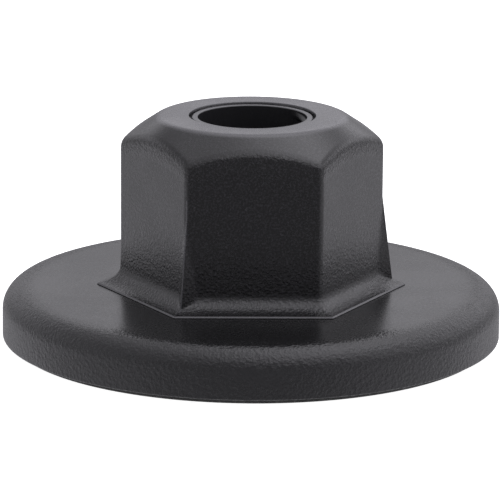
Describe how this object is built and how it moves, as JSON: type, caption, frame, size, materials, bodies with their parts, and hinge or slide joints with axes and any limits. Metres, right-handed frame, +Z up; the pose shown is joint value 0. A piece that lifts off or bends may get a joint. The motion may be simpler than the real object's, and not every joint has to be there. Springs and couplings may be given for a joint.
{
  "type": "furniture leveling foot",
  "caption": "Hexagon leveling foot with an internal thread and a flared skirt that turns on a round base with a rubber floor pad.",
  "frame": {"origin": "centre of the floor pad's lower face, on the floor", "axes": "+Z up along the thread's axis; -Y out of one flat of the hexagon; +X out of the corner that has a wedge rib"},
  "size_m": [0.0382, 0.0382, 0.0175],
  "materials": {
    "disc_plastic": "black nylon, fine moulded texture, slight sheen",
    "hex_plastic": "black nylon, fine moulded texture, slight sheen",
    "bush_steel": "black plated steel",
    "zinc_steel": "zinc plated",
    "spring_steel": "hardened spring steel",
    "acetal": "natural acetal",
    "pad_rubber": "moulded black rubber",
    "adhesive": "double-sided adhesive film"
  },
  "bodies": {
    "base": {"base_disc": "disc_plastic", "bearing_sleeve": "acetal", "disc_spring": "spring_steel", "floor_pad": "pad_rubber", "pad_adhesive": "adhesive"},
    "adjuster": {"hex_body": "hex_plastic", "threaded_bush": "bush_steel", "thrust_washer": "zinc_steel", "pivot_screw": "zinc_steel", "retaining_washer": "zinc_steel"}
  },
  "joints": [
    {"name": "adjuster_swivel", "type": "hinge", "parent": "base", "child": "adjuster", "pos_m": [0, 0, 0.005], "axis": [0, 0, 1], "continuous": true}
  ]
}
